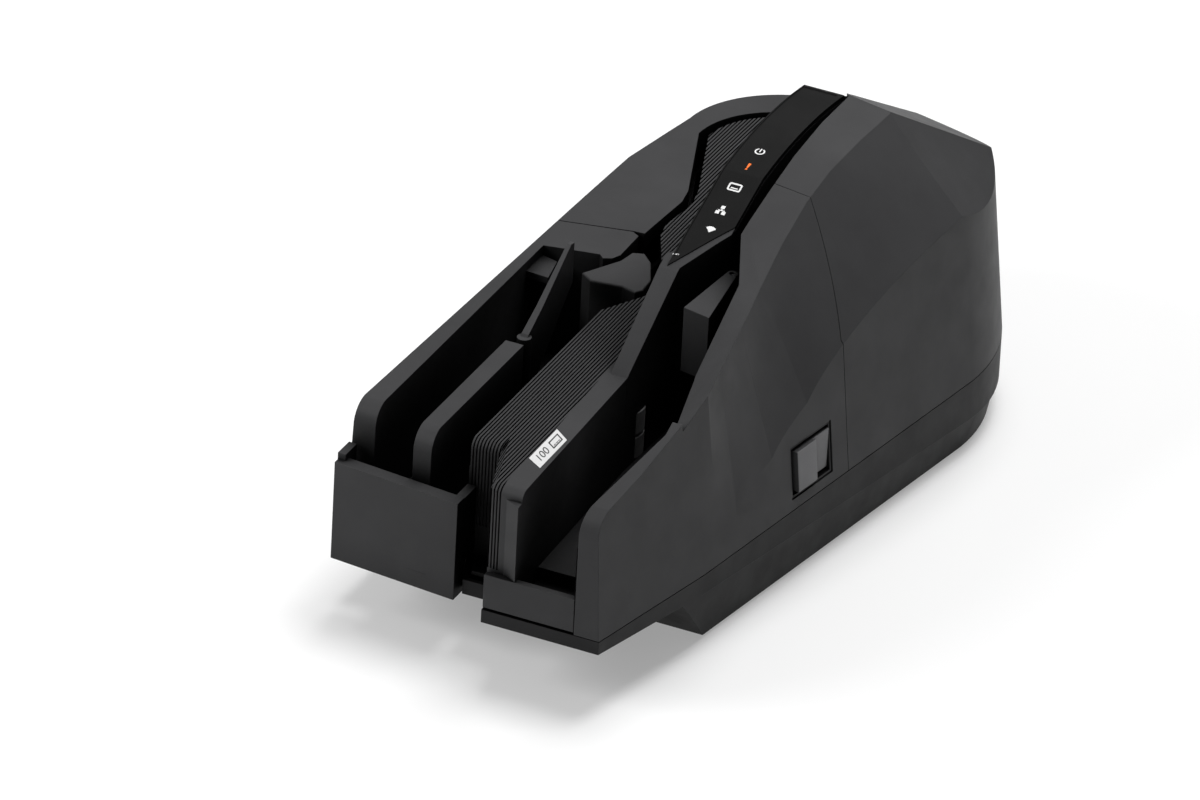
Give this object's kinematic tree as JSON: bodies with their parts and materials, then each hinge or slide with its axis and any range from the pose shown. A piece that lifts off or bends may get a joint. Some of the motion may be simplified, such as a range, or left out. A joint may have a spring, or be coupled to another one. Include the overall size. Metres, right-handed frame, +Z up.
{
  "type": "cheque scanner",
  "caption": "Desktop cheque scanner with a front hopper, a U-shaped paper path round a ribbed island, hinged side covers and twin output pockets.",
  "frame": {"origin": "middle of the footprint, on the table", "axes": "+Y to the rear, from the hopper's mouth to the round tail; +X to the user's right; +Z up"},
  "size_m": [0.196, 0.414, 0.164],
  "materials": {
    "casing": "fine satin grain",
    "base": "fine satin grain",
    "dark_plastic": "matte",
    "inner_plastic": "matte",
    "light_grey": "satin",
    "gloss_black": "gloss",
    "rubber_black": "matte rubber",
    "rubber_grey": "matte rubber",
    "steel": "brushed",
    "brass": "sintered",
    "board_green": "solder mask",
    "window_glass": "polished",
    "chrome": "polished"
  },
  "bodies": {
    "chassis": {"base_pan": "base", "bridge_plate": "inner_plastic", "cartridge_holder": "dark_plastic", "centre_housing": "casing", "deck_plate": "inner_plastic", "deck_screws": "steel", "drive_belt": "rubber_black", "flap_pin": "steel", "front_panel": "casing", "front_right_housing": "casing", "hopper_floor": "casing", "idler_pins": "steel", "inner_image_sensor": "inner_plastic", "left_cover_pin": "steel", "lever_pin": "steel", "lever_well": "dark_plastic", "magnetic_head": "chrome", "main_board": "board_green", "motor": "steel", "network_socket": "dark_plastic", "outer_image_sensor": "inner_plastic", "outer_path_guide": "dark_plastic", "path_floor": "dark_plastic", "pocket_case": "casing", "pocket_divider": "casing", "pocket_guide": "casing", "power_inlet": "dark_plastic", "pusher_pin": "steel", "right_cover_pin": "steel", "rubber_feet": "rubber_black", "sensor_windows": "window_glass", "shaft_bushes": "brass", "status_bezel": "gloss_black", "status_glass": "gloss_black", "usb_socket": "steel"},
    "right_cover": {"right_cover": "casing"},
    "left_cover": {"left_cover": "casing"},
    "release_lever": {"release_lever": "light_grey"},
    "hopper_pusher": {"hopper_pusher": "casing"},
    "pocket_flap": {"pocket_flap": "casing"},
    "end_stop_tray": {"end_stop_tray": "casing"},
    "franking_cartridge": {"franking_cartridge": "light_grey"},
    "power_button": {"power_button": "light_grey"},
    "motor_rotor": {"motor_shaft": "steel"},
    "pick_roller": {"pick_tyre": "rubber_grey", "pick_shaft": "steel"},
    "feed_roller": {"feed_tyre": "rubber_grey", "feed_shaft": "steel"},
    "transport_roller": {"transport_tyre": "rubber_grey", "transport_shaft": "steel"},
    "turn_roller": {"turn_tyre": "rubber_grey", "turn_shaft": "steel"},
    "exit_roller": {"exit_tyre": "rubber_grey", "exit_shaft": "steel"},
    "retard": {"retard_roller": "rubber_black"},
    "pinch_right": {"pinch_right_roller": "rubber_black"},
    "pinch_rear": {"pinch_rear_roller": "rubber_black"},
    "pinch_left": {"pinch_left_roller": "rubber_black"}
  },
  "joints": [
    {"name": "right_cover_hinge", "type": "hinge", "parent": "chassis", "child": "right_cover", "pos_m": [0.0207, 0.202, 0.062], "axis": [0, 0, 1], "range_deg": [0, 70]},
    {"name": "left_cover_hinge", "type": "hinge", "parent": "chassis", "child": "left_cover", "pos_m": [-0.0069, 0.2035, 0.062], "axis": [0, 0, -1], "range_deg": [0, 35]},
    {"name": "release_lever_pivot", "type": "hinge", "parent": "chassis", "child": "release_lever", "pos_m": [0.0678, -0.0514, 0.057], "axis": [0, 0, -1], "range_deg": [0, 12], "stiffness_Nm_per_rad": 0.05},
    {"name": "pusher_pivot", "type": "hinge", "parent": "chassis", "child": "hopper_pusher", "pos_m": [0.0234, -0.022, 0.107], "axis": [0, 0, -1], "range_deg": [0, 15], "stiffness_Nm_per_rad": 0.02},
    {"name": "pocket_flap_pivot", "type": "hinge", "parent": "chassis", "child": "pocket_flap", "pos_m": [-0.0554, -0.074, 0.077], "axis": [0, 0, 1], "range_deg": [-7, 7]},
    {"name": "tray_slide", "type": "slide", "parent": "chassis", "child": "end_stop_tray", "axis": [0, -1, 0], "range_m": [0, 0.03]},
    {"name": "cartridge_lift", "type": "slide", "parent": "chassis", "child": "franking_cartridge", "axis": [0, 0, 1], "range_m": [0, 0.009]},
    {"name": "power_button_press", "type": "slide", "parent": "chassis", "child": "power_button", "axis": [0, -1, 0], "range_m": [0, 0.0015], "stiffness_N_per_m": 300},
    {"name": "motor_spin", "type": "hinge", "parent": "chassis", "child": "motor_rotor", "pos_m": [0.015, 0.028, 0.032], "axis": [0, 0, 1], "continuous": true},
    {"name": "pick_spin", "type": "hinge", "parent": "chassis", "child": "pick_roller", "pos_m": [-0.0094, -0.067, 0.062], "axis": [0, 0, 1], "continuous": true},
    {"name": "feed_spin", "type": "hinge", "parent": "chassis", "child": "feed_roller", "pos_m": [0.006, -0.0102, 0.062], "axis": [0, 0, 1], "continuous": true},
    {"name": "transport_spin", "type": "hinge", "parent": "chassis", "child": "transport_roller", "pos_m": [0.007, 0.083, 0.062], "axis": [0, 0, 1], "continuous": true},
    {"name": "turn_spin", "type": "hinge", "parent": "chassis", "child": "turn_roller", "pos_m": [-0.024, 0.172, 0.062], "axis": [0, 0, 1], "continuous": true},
    {"name": "exit_spin", "type": "hinge", "parent": "chassis", "child": "exit_roller", "pos_m": [-0.031, 0.078, 0.062], "axis": [0, 0, 1], "continuous": true},
    {"name": "retard_spin", "type": "hinge", "parent": "chassis", "child": "retard", "pos_m": [0.02354, -0.01838, 0.062], "axis": [0, 0, 1], "continuous": true},
    {"name": "pinch_right_spin", "type": "hinge", "parent": "chassis", "child": "pinch_right", "pos_m": [0.02735, 0.083, 0.062], "axis": [0, 0, 1], "continuous": true},
    {"name": "pinch_rear_spin", "type": "hinge", "parent": "chassis", "child": "pinch_rear", "pos_m": [-0.024, 0.19235, 0.062], "axis": [0, 0, 1], "continuous": true},
    {"name": "pinch_left_spin", "type": "hinge", "parent": "chassis", "child": "pinch_left", "pos_m": [-0.05135, 0.078, 0.062], "axis": [0, 0, 1], "continuous": true}
  ],
  "couplings": [
    {"joint": "pick_spin", "follows": "motor_spin", "ratio": 1},
    {"joint": "feed_spin", "follows": "motor_spin", "ratio": 1},
    {"joint": "transport_spin", "follows": "motor_spin", "ratio": 1},
    {"joint": "turn_spin", "follows": "motor_spin", "ratio": 1},
    {"joint": "exit_spin", "follows": "motor_spin", "ratio": 1},
    {"joint": "retard_spin", "follows": "motor_spin", "ratio": -1.7143},
    {"joint": "pinch_right_spin", "follows": "motor_spin", "ratio": -1.5},
    {"joint": "pinch_rear_spin", "follows": "motor_spin", "ratio": -1.5},
    {"joint": "pinch_left_spin", "follows": "motor_spin", "ratio": -1.5}
  ]
}
